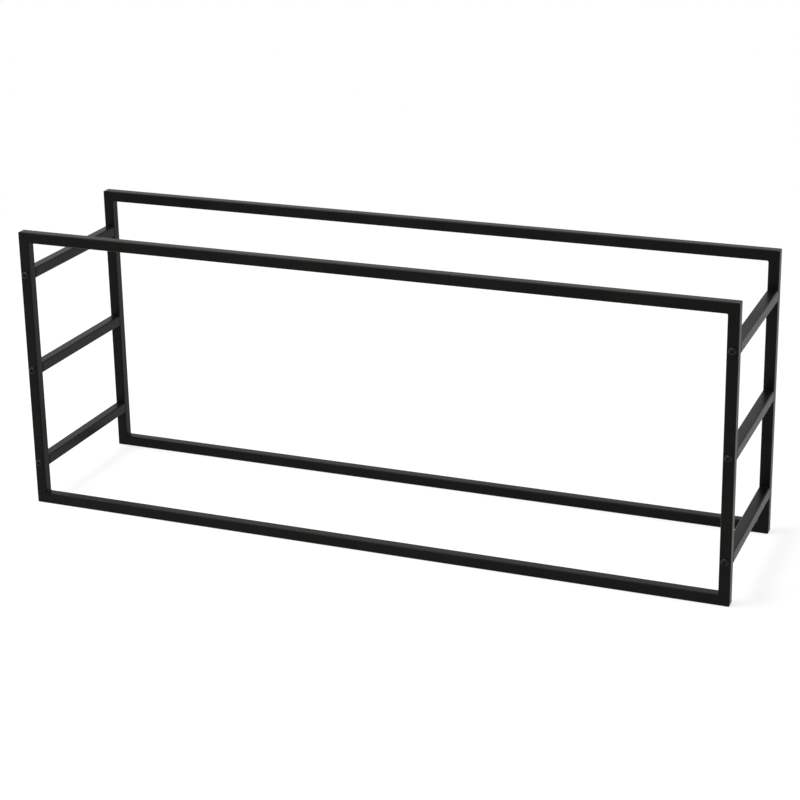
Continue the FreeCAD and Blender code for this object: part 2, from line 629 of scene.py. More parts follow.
@dataclass(frozen=True)
class BlackOxide:
    """Blackened steel of the screws: a thin satin film with a little wear on the crown.

    Attributes:
        name: the material's name.
        colour: the film's colour.
        paler: the colour where the film is rubbed thin.
        roughness: the lowest and the highest roughness.
        gloss: the shader's specular level.
        smudge: the size of the rubbed places, in metres.
        pit: the size of the film's fine pits.
        relief: their depth.
    """

    name: str
    colour: Colour = (0.0028, 0.0028, 0.0027)
    paler: Colour = (0.0075, 0.0075, 0.0071)
    roughness: tuple[float, float] = (0.36, 0.48)
    gloss: float = 0.2
    smudge: float = 1.6 * MM
    pit: float = 0.25 * MM
    relief: float = 0.006 * MM

    def material(self) -> bpy.types.Material:
        """Builds the material.

        Returns:
            The material.
        """
        shader = Shader(self.name)
        smudges = shader.noise(self.smudge, 3.0)
        pits = shader.noise(self.pit, 2.0)
        rubbed = shader.spread(smudges, 0.45, 0.75, 0.0, 0.7)
        return shader.dress(
            {
                "Base Color": shader.blend(rubbed, self.colour, self.paler),
                "Roughness": shader.grade(pits, *self.roughness),
                "Normal": shader.bump([(pits, self.relief)]),
                "Specular IOR Level": self.gloss,
            }
        )


@dataclass(frozen=True)
class MouldedNylon:
    """Matt black nylon of the tube plugs, with the faint grain of its mould.

    Attributes:
        name: the material's name.
        colour: the nylon's colour.
        pale: the colour of its flow marks.
        roughness: the lowest and the highest roughness.
        gloss: the shader's specular level.
        flow: the size of the flow marks, in metres.
        grain: the size of the mould's grain.
        relief: its depth.
    """

    name: str
    colour: Colour = (0.004, 0.004, 0.004)
    pale: Colour = (0.008, 0.008, 0.0078)
    roughness: tuple[float, float] = (0.5, 0.66)
    gloss: float = 0.14
    flow: float = 3.0 * MM
    grain: float = 0.2 * MM
    relief: float = 0.008 * MM

    def material(self) -> bpy.types.Material:
        """Builds the material.

        Returns:
            The material.
        """
        shader = Shader(self.name)
        flow = shader.noise(self.flow, 2.0, Vector((1, 1, 3)))
        grain = shader.noise(self.grain, 1.0)
        marks = shader.spread(flow, 0.4, 0.7, 0.0, 0.8)
        return shader.dress(
            {
                "Base Color": shader.blend(marks, self.colour, self.pale),
                "Roughness": shader.grade(grain, *self.roughness),
                "Normal": shader.bump([(grain, self.relief)]),
                "Specular IOR Level": self.gloss,
            }
        )


@dataclass(frozen=True)
class ZincPlate:
    """Satin zinc plate of the threaded bushes.

    Attributes:
        name: the material's name.
        colour: the plate's colour.
        dull: the colour where it has dulled.
        roughness: the lowest and the highest roughness.
        bloom: the size of the dulled places, in metres.
        turning: the width of the lathe's marks.
        relief: their depth.
    """

    name: str
    colour: Colour = (0.60, 0.59, 0.56)
    dull: Colour = (0.42, 0.42, 0.41)
    roughness: tuple[float, float] = (0.24, 0.40)
    bloom: float = 1.2 * MM
    turning: float = 0.15 * MM
    relief: float = 0.004 * MM

    def material(self) -> bpy.types.Material:
        """Builds the material.

        Returns:
            The material.
        """
        shader = Shader(self.name)
        bloom = shader.noise(self.bloom, 3.0)
        turning = shader.noise(self.turning, 1.0, Vector((6, 1, 6)))
        dulled = shader.spread(bloom, 0.4, 0.7, 0.0, 1.0)
        return shader.dress(
            {
                "Base Color": shader.blend(dulled, self.colour, self.dull),
                "Roughness": shader.grade(bloom, *self.roughness),
                "Normal": shader.bump([(turning, self.relief)]),
                "Metallic": 1.0,
            }
        )


# Pieces ----------------------------------------------------------------------------------------


def frame_box() -> tuple[Vector, Vector]:
    """Box of the two welded frames, without the screw heads.

    Returns:
        Its lowest and its highest corner.
    """
    low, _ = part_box("front_left_post")
    _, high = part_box("rear_right_post")
    return low, high


def row_height(row: Row) -> float:
    """Height of the crossbars of a row."""
    low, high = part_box(f"left_{row.value}_crossbar")
    return (low.z + high.z) / 2


def post_centre(end: End) -> float:
    """Place of the posts of an end along X."""
    low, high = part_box(f"front_{end.value}_post")
    return (low.x + high.x) / 2


def rounded_bar(
    name: str, low: Vector, high: Vector, axis: Axis, radius: float, round_faces: int
) -> bpy.types.Object:
    """Solid square bar with rounded long edges.

    Args:
        name: the name of the piece.
        low: the lowest corner of the bar's box.
        high: the highest corner of the bar's box.
        axis: the bar's length.
        radius: the radius of its long edges.
        round_faces: number of faces on each of them.

    Returns:
        The bar.
    """
    piece = block(name, low, high)
    with edit_mode(piece):
        pick(piece, Pick.EDGE, lambda edge: abs(edge_run(edge)[axis.value]) > 0.9)
        bpy.ops.mesh.bevel(offset=radius, segments=round_faces, profile=0.5, affect="EDGES")
    return piece


def seat(x: float, y: float, z: float, depth: Depth, turn: float = 0.0) -> Matrix:
    """Place and turn, in radians, of a fitting whose own Z axis points into the rack."""
    inwards = Matrix.Rotation(depth.sign * math.pi / 2, 4, "X")
    return Matrix.Translation((x, y, z)) @ inwards @ Matrix.Rotation(turn, 4, "Z")


@dataclass
class SquareTube:
    """Length of the square steel tube that all the rack's members are cut from.

    Attributes:
        radius: the outer radius of its long edges.
        wall: the wall's thickness.
        round_faces: number of faces on each rounded edge.
        tip_round: the rounding of a mitred end's outer edge.
        draw: how far the bore's end is drawn out while it is joined to the outer skin.
    """

    radius: float = 2.0 * MM
    wall: float = 1.0 * MM
    round_faces: int = 6
    tip_round: float = 2.2 * MM
    draw: float = 60.0 * MM

    def skin(self, name: str, low: Vector, high: Vector, axis: Axis, radius: float) -> bpy.types.Object:
        """Open-ended skin of a square bar.

        Args:
            name: the name of the piece.
            low: the lowest corner of the bar's box.
            high: the highest corner of the bar's box.
            axis: the bar's length.
            radius: the radius of its long edges.

        Returns:
            The skin.
        """
        piece = rounded_bar(name, low, high, axis, radius, self.round_faces)
        with edit_mode(piece):
            pick(piece, Pick.FACE, lambda face: abs(face.normal[axis.value]) > 0.9)
            bpy.ops.mesh.delete(type="FACE")
        return piece

    def build(
        self, name: str, low: Vector, high: Vector, axis: Axis, inside: Vector | None = None
    ) -> bpy.types.Object:
        """Tube in a box.

        Args:
            name: the name of the piece.
            low: the box's lowest corner.
            high: the box's highest corner.
            axis: the tube's length.
            inside: the side that a mitred tube turns to the middle of its frame. A tube without
                one has square ends.

        Returns:
            The tube.
        """
        inset = Vector([0 if index == axis.value else self.wall for index in range(3)])
        outer = self.skin(name, low, high, axis, self.radius)
        bore = self.skin(f"{name}_bore", low + inset, high - inset, axis, self.radius - self.wall)
        tube = join(name, (outer, bore))
        with edit_mode(tube):
            for sign in (-1, 1):
                if inside is not None:
                    self.mitre(low, high, axis.vector(sign), inside)
                self.close_end(tube, low, high, axis, sign)
                if inside is not None:
                    self.dress_tip(tube, low, high, axis.vector(sign), inside)
            weld_and_face_out()
        return tube

    def mitre(self, low: Vector, high: Vector, outwards: Vector, inside: Vector) -> None:
        """Cuts an end of the tube under edit at 45 degrees, with its long side outside.

        Args:
            low: the lowest corner of the tube's box.
            high: the highest corner of the tube's box.
            outwards: the direction along the tube to that end.
            inside: the side that the tube turns to the middle of its frame.
        """
        tip = self.tip(low, high, outwards, inside)
        bpy.ops.mesh.select_all(action="SELECT")
        bpy.ops.mesh.bisect(plane_co=tip, plane_no=(outwards + inside).normalized(), clear_outer=True)

    def tip(self, low: Vector, high: Vector, outwards: Vector, inside: Vector) -> Vector:
        """Place at the middle of the sharp outer edge of a mitred end."""
        reach = (high - low) / 2
        return (low + high) / 2 + Vector(map(math.prod, zip(reach, outwards - inside)))

    def dress_tip(
        self, tube: bpy.types.Object, low: Vector, high: Vector, outwards: Vector, inside: Vector
    ) -> None:
        """Rounds the sharp outer edge of a mitred end, as the grinder leaves the frame's corner.

        Args:
            tube: the tube under edit.
            low: the lowest corner of its box.
            high: the highest corner of its box.
            outwards: the direction along the tube to that end.
            inside: the side that the tube turns to the middle of its frame.
        """
        tip = self.tip(low, high, outwards, inside)
        slack = 0.01 * MM
        along = Vector(map(abs, outwards))
        for angle in (0, 15, 30):
            back = self.tip_round * (1 - math.sin(math.radians(angle)))
            bpy.ops.mesh.select_all(action="SELECT")
            bpy.ops.mesh.bisect(plane_co=tip - outwards * back, plane_no=outwards)
        for angle in (15, 30):
            back = self.tip_round * (1 - math.sin(math.radians(angle)))
            sink = self.tip_round * (1 - math.cos(math.radians(angle)))
            pick(
                tube,
                Pick.VERTEX,
                lambda vertex: abs((tip - vertex.co).dot(outwards) - back) < slack
                and (vertex.co - tip).dot(inside) < sink,
            )
            bpy.ops.transform.resize(
                value=Vector((1, 1, 1)) - Vector(map(abs, inside)), center_override=tip + inside * sink
            )
        sink = self.tip_round * (1 - math.sqrt(0.5))
        pick(tube, Pick.VERTEX, lambda vertex: (tip - vertex.co).dot(outwards) < sink)
        bpy.ops.transform.resize(
            value=Vector((1, 1, 1)) - Vector(map(abs, inside)) - along,
            center_override=tip + (inside - outwards) * sink,
        )

    def close_end(
        self, tube: bpy.types.Object, low: Vector, high: Vector, axis: Axis, sign: int
    ) -> None:
        """Joins the outer skin and the bore at an end of the tube under edit.

        Loops with one centre can be bridged with a twist, so the bore's end is drawn out
        before it is bridged, and goes back after it.

        Args:
            tube: the tube under edit.
            low: the lowest corner of its box.
            high: the highest corner of its box.
            axis: its length.
            sign: the end's side of its middle.
        """
        centre = (low + high) / 2
        across = [index for index in range(3) if index != axis.value]
        bore_reach = (high - low)[across[0]] / 2 - self.wall / 2
        beyond = (high - low)[axis.value] / 2 + MM
        drawn = axis.vector(sign) * self.draw

        def along(place: Vector) -> float:
            """Distance from the tube's middle towards this end."""
            return (place - centre)[axis.value] * sign

        def in_bore(place: Vector) -> bool:
            """Whether a place is on the bore's skin or inside it."""
            return all(abs((place - centre)[index]) < bore_reach for index in across)

        def is_bore_end(vertex: bmesh.types.BMVert) -> bool:
            """Whether a corner is on the open end of the bore."""
            return vertex.is_boundary and along(vertex.co) > 0 and in_bore(vertex.co)

        pick(tube, Pick.VERTEX, is_bore_end)
        bpy.ops.transform.translate(value=drawn)
        pick(tube, Pick.EDGE, lambda edge: edge.is_boundary and along(middle(edge)) > 0)
        bpy.ops.mesh.bridge_edge_loops()
        pick(tube, Pick.VERTEX, lambda vertex: along(vertex.co) > beyond)
        bpy.ops.transform.translate(value=-drawn)


@dataclass
class WeldBead:
    """Fillet weld in an inner corner of a frame, as a run of overlapping ripples under the coat.

    Attributes:
        leg: how far the bead reaches along each tube.
        ripple: the distance from one ripple to the next.
        hollow: the bevel profile that makes its face hollow, where 0.25 is flat.
        reach: how much of each leg the hollow face takes up.
        facets: number of faces across it.
        swell: how far a ripple stands over the valley beside it, as a share of the leg.
        taper: the size of its two ends, as a share of the leg.
        seed: start of the ripples' small differences.
    """

    leg: float = 2.3 * MM
    ripple: float = 1.1 * MM
    hollow: float = 0.09
    reach: float = 0.98
    facets: int = 10
    swell: float = 0.10
    taper: float = 0.55
    seed: int = 4

    def build(self, name: str, low: Vector, high: Vector, end: End, upper: bool) -> bpy.types.Object:
        """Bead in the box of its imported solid.

        Args:
            name: the name of the piece.
            low: the box's lowest corner.
            high: the box's highest corner.
            end: the end of the rack that the corner is at.
            upper: whether the corner is at the top rail.

        Returns:
            The bead.
        """
        corner_x = low.x if end is End.LEFT else high.x
        corner_z = high.z if upper else low.z
        piece = block(name, low, high)
        with edit_mode(piece):
            pick(piece, Pick.EDGE, lambda edge: self.faces_window(edge, corner_x, corner_z))
            bpy.ops.mesh.bevel(
                offset=self.leg * self.reach,
                segments=self.facets,
                profile=self.hollow,
                affect="EDGES",
            )
            bpy.ops.mesh.select_all(action="SELECT")
            bpy.ops.mesh.remove_doubles(threshold=0.01 * MM)
            count = 2 * round((high.y - low.y) / self.ripple) + 1
            self.slice(piece, low.y, high.y, count)
            self.swell_ripples(piece, low.y, high.y, count, Vector((corner_x, 0, corner_z)))
            weld_and_face_out()
        return piece

    def faces_window(self, edge: bmesh.types.BMEdge, corner_x: float, corner_z: float) -> bool:
        """Whether an edge of the bead's block is the long one that is furthest from the corner.

        Args:
            edge: the edge.
            corner_x: the place of the corner along X.
            corner_z: its place along Z.

        Returns:
            Whether it is.
        """
        along = abs(edge.verts[0].co.y - edge.verts[1].co.y) > MM
        place = middle(edge)
        return along and abs(place.x - corner_x) > MM and abs(place.z - corner_z) > MM

    def slice(self, piece: bpy.types.Object, start: float, end: float, count: int) -> None:
        """Cuts the bead across at even steps.

        Args:
            piece: the bead under edit.
            start: the bead's start along Y.
            end: its end along Y.
            count: how many slices to make.
        """
        for number in range(1, count):
            bpy.ops.mesh.select_all(action="SELECT")
            place = start + (end - start) * number / count
            bpy.ops.mesh.bisect(plane_co=(0, place, 0), plane_no=(0, 1, 0))

    def swell_ripples(
        self, piece: bpy.types.Object, start: float, end: float, count: int, corner: Vector
    ) -> None:
        """Moves every second cut away from the corner by its own small amount, and the ends to it.

        Args:
            piece: the bead under edit.
            start: the bead's start along Y.
            end: its end along Y.
            count: the number of slices.
            corner: the corner that the bead fills.
        """
        chance = random.Random(self.seed)
        step = (end - start) / count
        swells = {number: 1 + self.swell * chance.uniform(0.6, 1.4) for number in range(1, count, 2)}
        for number, swell in ({0: self.taper, count: self.taper} | swells).items():
            place = start + step * number
            pick(piece, Pick.VERTEX, lambda vertex: abs(vertex.co.y - place) < step / 4)
            bpy.ops.transform.resize(
                value=(swell, 1, swell), center_override=(corner.x, place, corner.z)
            )


@dataclass
class WeldedFrame:
    """Front or rear frame: two rails and two posts, mitred and welded.

    Attributes:
        depth: which frame it is.
        coat: the finish of its tubes.
        weld_coat: the finish of its weld beads.
        tube: the tube that it is cut from.
        bead: the weld in its corners.
        hole_radius: the radius of the screw holes in its posts.
        hole_faces: number of faces round each of them.
    """

    depth: Depth
    coat: bpy.types.Material
    weld_coat: bpy.types.Material
    tube: SquareTube = field(default_factory=SquareTube)
    bead: WeldBead = field(default_factory=WeldBead)
    hole_radius: float = 3.3 * MM
    hole_faces: int = 40

    def build(self) -> None:
        """Builds and installs the frame's pieces."""
        self.build_rails()
        self.build_posts()
        self.build_welds()

    def install_tube(self, node: str, tube: bpy.types.Object) -> None:
        """Finishes a tube of the frame and puts it in the place of its node."""
        shade(tube)
        install(tube, node, self.coat)

    def build_rails(self) -> None:
        """Bottom and top rail."""
        for name, inside in (("bottom_rail", 1), ("top_rail", -1)):
            node = f"{self.depth.value}_{name}"
            low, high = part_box(node)
            tube = self.tube.build(f"{node}_tube", low, high, Axis.X, Axis.Z.vector(inside))
            self.install_tube(node, tube)

    def build_posts(self) -> None:
        """Left and right post, drilled through for the screws."""
        for end in End:
            node = f"{self.depth.value}_{end.value}_post"
            low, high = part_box(node)
            tube = self.tube.build(f"{node}_tube", low, high, Axis.Z, Axis.X.vector(-end.sign))
            for row in Row:
                bpy.ops.object.select_all(action="DESELECT")
                bpy.ops.mesh.primitive_cylinder_add(
                    vertices=self.hole_faces,
                    radius=self.hole_radius,
                    depth=2 * (high.y - low.y),
                    location=(post_centre(end), (low.y + high.y) / 2, row_height(row)),
                    rotation=(math.pi / 2, 0, 0),
                )
                merge(tube, settle(bpy.context.object, f"{node}_{row.value}_drill"), Merge.CUT)
            self.install_tube(node, tube)

    def build_welds(self) -> None:
        """The four beads."""
        node = f"{self.depth.value}_corner_welds"
        low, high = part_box(node)
        for end in End:
            for upper in (False, True):
                start = Vector(
                    (
                        low.x if end is End.LEFT else high.x - self.bead.leg,
                        low.y,
                        high.z - self.bead.leg if upper else low.z,
                    )
                )
                stop = start + Vector((self.bead.leg, high.y - low.y, self.bead.leg))
                side = "upper" if upper else "lower"
                name = f"{self.depth.value}_{side}_{end.value}_weld_bead"
                bead = self.bead.build(name, start, stop, end, upper)
                shade(bead, sharp_from=60.0)
                install(bead, node, self.weld_coat)


@dataclass
class Plug:
    """Nylon plug: a flange that caps the tube and a ribbed body that grips its bore.

    Its own Z axis points into the tube, from the outer face of the flange.

    Attributes:
        side: the flange's side.
        radius: the radius of the flange's corners.
        flange: its thickness.
        flange_round: the rounding of its rims.
        body_side: the side of the body between its ribs.
        body_radius: the radius of the body's corners.
        rib_side: the side of a rib at its widest.
        rib_back: the side of a rib where it ends.
        pitch: the distance from rib to rib.
        rib_width: the length of a rib along the body.
        rib_count: the number of ribs.
        bolt_hole: the radius of the hole in the flange.
        pocket: the radius of the bush's pocket.
        round_faces: number of faces on each corner of the flange and of the body.
        bore_faces: number of faces round the hole.
    """

    side: float = 15.0 * MM
    radius: float = 2.0 * MM
    flange: float = 2.0 * MM
    flange_round: float = 0.25 * MM
    body_side: float = 11.7 * MM
    body_radius: float = 1.0 * MM
    rib_side: float = 12.9 * MM
    rib_back: float = 12.3 * MM
    pitch: float = 4.0 * MM
    rib_width: float = 2.0 * MM
    rib_count: int = 4
    bolt_hole: float = 3.3 * MM
    pocket: float = 4.1 * MM
    round_faces: tuple[int, int] = (6, 4)
    bore_faces: int = 48

    @property
    def length(self) -> float:
        """Length of the whole plug."""
        return self.flange + self.rib_count * self.pitch + self.rib_width

    def build(self, name: str) -> bpy.types.Object:
        """Plug on the Z axis.

        Args:
            name: the name of the piece.

        Returns:
            The plug.
        """
        reach = Vector((self.side / 2, self.side / 2, 0))
        high = reach + Vector((0, 0, self.flange))
        plug = rounded_bar(name, -reach, high, Axis.Z, self.radius, self.round_faces[0])
        with edit_mode(plug):
            pick(plug, Pick.EDGE, lambda edge: abs(edge_run(edge).z) < 0.1)
            bpy.ops.mesh.bevel(offset=self.flange_round, segments=3, profile=0.5, affect="EDGES")
        merge(plug, self.build_body(f"{name}_body"), Merge.FUSE)
        outline = (
            (0, -MM),
            (self.bolt_hole, -MM),
            (self.bolt_hole, self.flange),
            (self.pocket, self.flange),
            (self.pocket, self.length + MM),
            (0, self.length + MM),
        )
        merge(plug, lathe(f"{name}_bore", outline, self.bore_faces), Merge.CUT)
        shade(plug)
        return plug

    def build_body(self, name: str) -> bpy.types.Object:
        """Ribbed body, which starts inside the flange.

        Args:
            name: the name of the piece.

        Returns:
            The body.
        """
        start = self.flange / 2
        reach = Vector((self.body_side / 2, self.body_side / 2, 0))
        low, high = Vector((0, 0, start)) - reach, Vector((0, 0, self.flange + self.rib_width)) + reach
        body = rounded_bar(name, low, high, Axis.Z, self.body_radius, self.round_faces[1])
        with edit_mode(body):
            pick(body, Pick.FACE, lambda face: face.normal.z > 0.9)
            for _ in range(self.rib_count):
                self.step(self.rib_side / self.body_side, 0)
                self.step(self.rib_back / self.rib_side, self.rib_width)
                self.step(self.body_side / self.rib_back, 0)
                self.step(1.0, self.rib_width)
        return body

    def step(self, widening: float, rise: float) -> None:
        """Extrudes the selected end face up by a rise and scales its side by a widening."""
        bpy.ops.mesh.extrude_region_move(TRANSFORM_OT_translate={"value": (0, 0, rise)})
        bpy.ops.transform.resize(value=(widening, widening, 1), center_override=(0, 0, 0))


@dataclass
class Bush:
    """Knurled steel bush with a bore for the screw, on its own Z axis from Z = 0.

    Attributes:
        radius: the outer radius.
        bore: the radius of its bore.
        length: its length.
        chamfer: the chamfer at the bore's ends.
        lead: the chamfer at the outer ends.
        collar: the length of the plain collar at each end.
        waist: the radius of the groove round its middle.
        flute: how deep the knurl is, as a share of the radius.
        faces: number of faces round the turn.
    """

    radius: float = 4.05 * MM
    bore: float = 3.05 * MM
    length: float = 14.0 * MM
    chamfer: float = 0.4 * MM
    lead: float = 0.2 * MM
    collar: float = 2.0 * MM
    waist: float = 3.7 * MM
    flute: float = 0.035
    faces: int = 72

    def build(self, name: str) -> bpy.types.Object:
        """Bush on the Z axis.

        Args:
            name: the name of the piece.

        Returns:
            The bush.
        """
        half = self.length / 2
        upper = (
            (self.waist, 0.0),
            (self.waist, 0.5 * MM),
            (self.radius, 0.9 * MM),
            (self.radius, 1.2 * MM),
            (self.radius, half - self.collar),
            (self.radius, half - self.collar + self.lead),
            (self.radius, half - self.lead),
            (self.radius - self.lead, half),
            (self.bore + self.chamfer, half),
            (self.bore, half - self.chamfer),
        )
        lower = [(radius, -rise) for radius, rise in reversed(upper[1:])]
        outline = [(radius, rise + half) for radius, rise in (*upper, *lower, upper[0])]
        bush = lathe(name, outline, self.faces)
        with edit_mode(bush):
            pick(bush, Pick.VERTEX, self.in_flute)
            narrowed = 1 - self.flute
            bpy.ops.transform.resize(value=(narrowed, narrowed, 1), center_override=(0, 0, 0))
        shade(bush, sharp_from=25.0)
        return bush

    def in_flute(self, vertex: bmesh.types.BMVert) -> bool:
        """Whether a corner of the outer wall lies in a groove of the knurl.

        Args:
            vertex: the corner.

        Returns:
            Whether it does.
        """
        off_middle = abs(vertex.co.z - self.length / 2)
        on_band = MM < off_middle < self.length / 2 - self.collar + self.lead / 2
        outside = vertex.co.to_2d().length > self.radius - 0.01 * MM
        column = round(math.atan2(vertex.co.y, vertex.co.x) / math.tau * self.faces)
        return on_band and outside and column % 2 == 1


@dataclass
class Screw:
    """Button head socket screw, on its own Z axis: the head sits on Z = 0 and the shank points up.

    Attributes:
        radius: the thread's outer radius.
        root: the radius at the bottom of the thread.
        neck: the radius of the plain neck under the head.
        neck_length: its length.
        length: the length under the head.
        pitch: the thread's pitch.
        tip_chamfer: the chamfer at the tip.
        head_radius: the head's radius.
        head_height: its height.
        head_rim: the height of its upright rim.
        head_edge: the small chamfer at the rim's foot.
        socket_width: the socket's width across its flats.
        socket_depth: its depth.
        socket_rim: the width of the flat ring round the socket.
        socket_lead: the chamfer at its mouth.
        faces: number of faces round the head.
        dome_faces: number of faces from the dome's rim to its crown.
        thread_faces: number of faces round a turn of the thread.
    """

    radius: float = 3.0 * MM
    root: float = 2.45 * MM
    neck: float = 2.7 * MM
    neck_length: float = 1.5 * MM
    length: float = 30.0 * MM
    pitch: float = 1.0 * MM
    tip_chamfer: float = 0.8 * MM
    head_radius: float = 5.25 * MM
    head_height: float = 3.3 * MM
    head_rim: float = 0.6 * MM
    head_edge: float = 0.12 * MM
    socket_width: float = 4.0 * MM
    socket_depth: float = 2.1 * MM
    socket_rim: float = 0.5 * MM
    socket_lead: float = 0.2 * MM
    faces: int = 64
    dome_faces: int = 10
    thread_faces: int = 24

    @property
    def socket_corner(self) -> float:
        """Distance of the socket's corners from the axis."""
        return self.socket_width / math.sqrt(3)

    def build(self, name: str) -> bpy.types.Object:
        """Screw on the Z axis.

        Args:
            name: the name of the piece.

        Returns:
            The screw.
        """
        screw = self.build_head(name)
        merge(screw, self.build_thread(f"{name}_thread"), Merge.FUSE)
        shade(screw, sharp_from=28.0)
        return screw

    def build_head(self, name: str) -> bpy.types.Object:
        """Domed head with its socket and neck.

        Args:
            name: the name of the piece.

        Returns:
            The head.
        """
        crown = self.socket_corner + self.socket_rim
        outline = [
            (0, -self.head_height),
            *self.dome(crown),
            (self.head_radius, -self.head_edge),
            (self.head_radius - self.head_edge, 0),
            (self.neck, 0),
            (self.neck, self.neck_length),
            (0, self.neck_length),
        ]
        head = lathe(name, outline, self.faces)
        bpy.ops.object.select_all(action="DESELECT")
        bpy.ops.mesh.primitive_cylinder_add(
            vertices=6,
            radius=self.socket_corner,
            depth=2 * self.socket_depth,
            location=(0, 0, -self.head_height),
        )
        merge(head, settle(bpy.context.object, f"{name}_key"), Merge.CUT)
        mouth = self.socket_corner + self.socket_lead
        lead = ((0, -2 * mouth), (2 * mouth, -2 * mouth), (mouth, 0), (0, mouth))
        outline = [(radius, rise - self.head_height) for radius, rise in lead]
        merge(head, lathe(f"{name}_lead", outline, self.faces), Merge.CUT)
        return head

    def dome(self, crown: float) -> list[tuple[float, float]]:
        """Outline of the head's dome, a part of a sphere with its centre on the axis.

        Args:
            crown: the radius of the flat ring at its top.

        Returns:
            Radius and height of its corners, from the ring down to the rim.
        """
        rise = self.head_height - self.head_rim
        below = (self.head_radius**2 - crown**2 - rise**2) / (2 * rise)
        sphere = math.hypot(self.head_radius, below)
        start, end = math.asin(crown / sphere), math.asin(self.head_radius / sphere)
        step = (end - start) / self.dome_faces
        angles = [start + step * number for number in range(self.dome_faces + 1)]
        centre = below - self.head_rim
        return [(sphere * math.sin(angle), centre - sphere * math.cos(angle)) for angle in angles]

    def build_thread(self, name: str) -> bpy.types.Object:
        """Threaded shank, from inside the neck to the chamfered tip.

        Args:
            name: the name of the piece.

        Returns:
            The shank.
        """
        groove = (
            (self.radius, 0),
            (self.radius, self.pitch / 8),
            (self.root, self.pitch * 7 / 16),
            (self.root, self.pitch * 11 / 16),
            (self.radius, self.pitch),
        )
        thread = line(name, groove)
        activate(thread)
        winding = thread.modifiers.new("winding", "SCREW")
        winding.angle = math.tau
        winding.screw_offset = self.pitch
        winding.iterations = math.ceil(self.length / self.pitch) + 2
        winding.steps = winding.render_steps = self.thread_faces
        winding.use_merge_vertices = False
        bpy.ops.object.modifier_apply(modifier=winding.name)
        with edit_mode(thread):
            weld_and_face_out()
            for sign in (-1, 1):
                pick(
                    thread,
                    Pick.EDGE,
                    lambda edge: edge.is_boundary and (middle(edge).z - self.length / 2) * sign > 0,
                )
                bpy.ops.mesh.edge_face_add()
            weld_and_face_out()
        start, shoulder = self.neck_length / 2, self.length - self.tip_chamfer
        outline = (
            (0, start),
            (self.root, start),
            (self.radius + self.pitch, start + self.radius + self.pitch - self.root),
            (self.radius + self.pitch, shoulder - self.pitch),
            (self.radius - self.tip_chamfer, self.length),
            (0, self.length),
        )
        merge(thread, lathe(f"{name}_blank", outline, self.faces), Merge.KEEP_SHARED)
        return thread


@dataclass
class Ladders:
    """The six crossbars, three at each end, with all that holds them to the frames.

    Attributes:
        coat: the finish of the crossbars.
        nylon: the finish of the plugs.
        zinc: the finish of the bushes.
        oxide: the finish of the screws.
        tube: the tube that the crossbars are cut from.
        plug: the plug in each of their ends.
        bush: the bush in each plug.
        screw: the screw through each post.
        seed: start of the screws' turns.
    """

    coat: bpy.types.Material
    nylon: bpy.types.Material
    zinc: bpy.types.Material
    oxide: bpy.types.Material
    tube: SquareTube = field(default_factory=SquareTube)
    plug: Plug = field(default_factory=Plug)
    bush: Bush = field(default_factory=Bush)
    screw: Screw = field(default_factory=Screw)
    seed: int = 9

    def build(self) -> None:
        """Builds and installs the crossbars and their fittings."""
        plug = self.plug.build("plug_pattern")
        bush = self.bush.build("bush_pattern")
        screw = self.screw.build("screw_pattern")
        chance = random.Random(self.seed)
        for end in End:
            for row in Row:
                self.build_crossbar(end, row)
                for depth in Depth:
                    self.fit_end(end, row, depth, plug, bush)
                    self.fit_screw(end, row, depth, screw, chance.uniform(0, math.tau / 6))
        for pattern in (plug, bush, screw):
            bpy.data.objects.remove(pattern)

    def build_crossbar(self, end: End, row: Row) -> None:
        """Builds and installs a square-cut tube between the plug flanges.

        Args:
            end: the end of the rack.
            row: the crossbar's height.
        """
        node = f"{end.value}_{row.value}_crossbar"
        low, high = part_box(node)
        tube = self.tube.build(f"{node}_tube", low, high, Axis.Y)
        shade(tube)
        install(tube, node, self.coat)

    def fit_end(
        self, end: End, row: Row, depth: Depth, plug: bpy.types.Object, bush: bpy.types.Object
    ) -> None:
        """Puts a plug and its bush into an end of a crossbar.

        Args:
            end: the end of the rack.
            row: the crossbar's height.
            depth: the end of the crossbar.
            plug: the plug to copy.
            bush: the bush to copy.
        """
        fittings = (("plug", plug, Slot.PLUG, self.nylon), ("bush", bush, Slot.BUSH, self.zinc))
        for name, pattern, slot, material in fittings:
            node = f"{end.value}_{row.value}_crossbar_{depth.value}_{name}"
            low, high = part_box(node)
            outer = low.y if depth is Depth.FRONT else high.y
            place = seat((low.x + high.x) / 2, outer, (low.z + high.z) / 2, depth)
            install(copy_to(pattern, f"{node}_fitting", place), node, material)

    def fit_screw(
        self, end: End, row: Row, depth: Depth, screw: bpy.types.Object, turn: float
    ) -> None:
        """Puts a screw through a post into an end of a crossbar.

        Args:
            end: the end of the rack.
            row: the crossbar's height.
            depth: the frame that it goes through.
            screw: the screw to copy.
            turn: the screw's turn, where it was tightened.
        """
        low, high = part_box(f"{depth.value}_{end.value}_post")
        face = low.y if depth is Depth.FRONT else high.y
        place = seat(post_centre(end), face, row_height(row), depth, turn)
        name = f"{depth.value}_{end.value}_{row.value}_screw"
        node = f"{depth.value}_{end.value}_bolts"
        install(copy_to(screw, name, place), node, self.oxide)


# Studio ----------------------------------------------------------------------------------------


